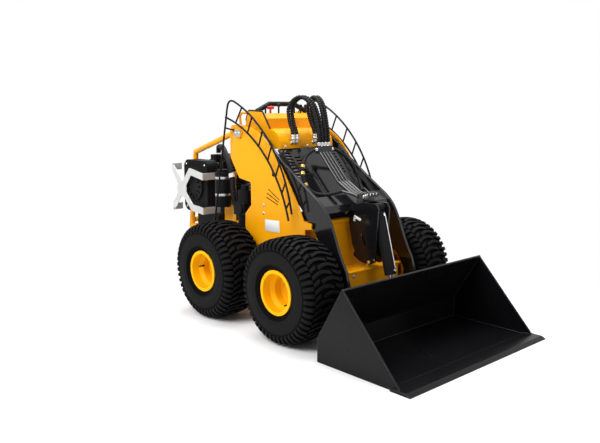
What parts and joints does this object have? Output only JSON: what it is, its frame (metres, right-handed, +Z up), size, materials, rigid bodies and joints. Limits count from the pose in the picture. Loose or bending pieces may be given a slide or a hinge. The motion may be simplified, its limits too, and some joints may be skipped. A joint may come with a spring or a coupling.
{
  "type": "walk-behind mini loader",
  "caption": "Compact four-wheel mini loader with plate towers, a lift arm, a tilting bucket and an open rear engine",
  "frame": {"origin": "on the ground in the middle of the machine's length and width", "axes": "+X forward to the bucket, +Y to the machine's left, +Z up"},
  "size_m": [2.179, 1.112, 1.2413],
  "materials": {
    "paint": "gloss golden yellow paint",
    "gloss_black": "semi-gloss black paint",
    "engine_black": "satin black",
    "rubber_hose": "matt hose rubber",
    "grip_foam": "matt grip",
    "knob_red": "gloss red",
    "bright_steel": "bright steel",
    "rod_chrome": "polished chrome",
    "tyre_rubber": "matt tyre rubber"
  },
  "bodies": {
    "chassis": {"chassis_tub": "paint", "tower_right": "paint", "tower_left": "paint", "hood": "gloss_black", "console": "paint", "grip_bar": "grip_foam", "levers": "grip_foam", "throttle_knob": "knob_red", "grab_loops": "paint", "hydraulic_pump": "engine_black", "rear_tie_bar": "paint", "guard_right": "gloss_black", "guard_left": "gloss_black", "lift_pins": "bright_steel", "rear_hoop": "paint", "engine_tray": "paint", "engine_block": "engine_black", "engine_fan_housing": "engine_black", "engine_guard": "bright_steel", "air_canister": "engine_black", "intake_hose": "rubber_hose", "hose_loops": "rubber_hose"},
    "arm": {"arm_right": "gloss_black", "arm_left": "gloss_black", "arm_bridge": "gloss_black", "arm_pipes": "gloss_black", "arm_hoses": "rubber_hose"},
    "bucket": {"bucket_shell": "gloss_black", "hitch": "gloss_black", "hinge_pins": "bright_steel"},
    "lift_barrel_r": {"lift_barrel_right": "gloss_black"},
    "lift_rod_r": {"lift_rod_right": "rod_chrome"},
    "lift_barrel_l": {"lift_barrel_left": "gloss_black"},
    "lift_rod_l": {"lift_rod_left": "rod_chrome"},
    "tilt_barrel_c": {"tilt_barrel": "gloss_black"},
    "tilt_rod_c": {"tilt_rod": "rod_chrome"},
    "wheel_front_right": {"tyre_front_right": "tyre_rubber", "rim_front_right": "paint"},
    "wheel_front_left": {"tyre_front_left": "tyre_rubber", "rim_front_left": "paint"},
    "wheel_rear_right": {"tyre_rear_right": "tyre_rubber", "rim_rear_right": "paint"},
    "wheel_rear_left": {"tyre_rear_left": "tyre_rubber", "rim_rear_left": "paint"}
  },
  "joints": [
    {"name": "lift", "type": "hinge", "parent": "chassis", "child": "arm", "pos_m": [-0.3815, 0, 1.03], "axis": [0, -1, 0], "range_deg": [0, 70], "deforming": ["hose_loops"]},
    {"name": "tilt", "type": "hinge", "parent": "arm", "child": "bucket", "pos_m": [0.5035, 0, 0.07], "axis": [0, 1, 0], "range_deg": [-15, 100]},
    {"name": "lift_barrel_swing_r", "type": "hinge", "parent": "chassis", "child": "lift_barrel_r", "pos_m": [-0.2315, -0.244, 0.385], "axis": [0, -1, 0], "range_deg": [-10, 1]},
    {"name": "lift_rod_slide_r", "type": "slide", "parent": "lift_barrel_r", "child": "lift_rod_r", "axis": [0.0236, 0, 0.9997], "range_m": [-0.001, 0.29]},
    {"name": "lift_barrel_swing_l", "type": "hinge", "parent": "chassis", "child": "lift_barrel_l", "pos_m": [-0.2315, 0.244, 0.385], "axis": [0, -1, 0], "range_deg": [-10, 1]},
    {"name": "lift_rod_slide_l", "type": "slide", "parent": "lift_barrel_l", "child": "lift_rod_l", "axis": [0.0236, 0, 0.9997], "range_m": [-0.001, 0.29]},
    {"name": "tilt_barrel_swing", "type": "hinge", "parent": "arm", "child": "tilt_barrel_c", "pos_m": [0.4185, 0, 0.665], "axis": [0, -1, 0], "range_deg": [-3, 9]},
    {"name": "tilt_rod_slide", "type": "slide", "parent": "tilt_barrel_c", "child": "tilt_rod_c", "axis": [0.2674, 0, -0.9636], "range_m": [-0.045, 0.27]},
    {"name": "spin_front_right", "type": "hinge", "parent": "chassis", "child": "wheel_front_right", "pos_m": [0.2285, -0.425, 0.272], "axis": [0, 1, 0], "continuous": true},
    {"name": "spin_front_left", "type": "hinge", "parent": "chassis", "child": "wheel_front_left", "pos_m": [0.2285, 0.425, 0.272], "axis": [0, 1, 0], "continuous": true},
    {"name": "spin_rear_right", "type": "hinge", "parent": "chassis", "child": "wheel_rear_right", "pos_m": [-0.3995, -0.425, 0.272], "axis": [0, 1, 0], "continuous": true},
    {"name": "spin_rear_left", "type": "hinge", "parent": "chassis", "child": "wheel_rear_left", "pos_m": [-0.3995, 0.425, 0.272], "axis": [0, 1, 0], "continuous": true}
  ],
  "couplings": [
    {"joint": "lift_barrel_swing_r", "follows": "lift", "ratio": -0.105},
    {"joint": "lift_rod_slide_r", "follows": "lift", "m_per_rad": 0.23033},
    {"joint": "lift_barrel_swing_l", "follows": "lift", "ratio": -0.105},
    {"joint": "lift_rod_slide_l", "follows": "lift", "m_per_rad": 0.23033},
    {"joint": "tilt_barrel_swing", "follows": "tilt", "ratio": 0.07},
    {"joint": "tilt_rod_slide", "follows": "tilt", "m_per_rad": 0.15011}
  ]
}
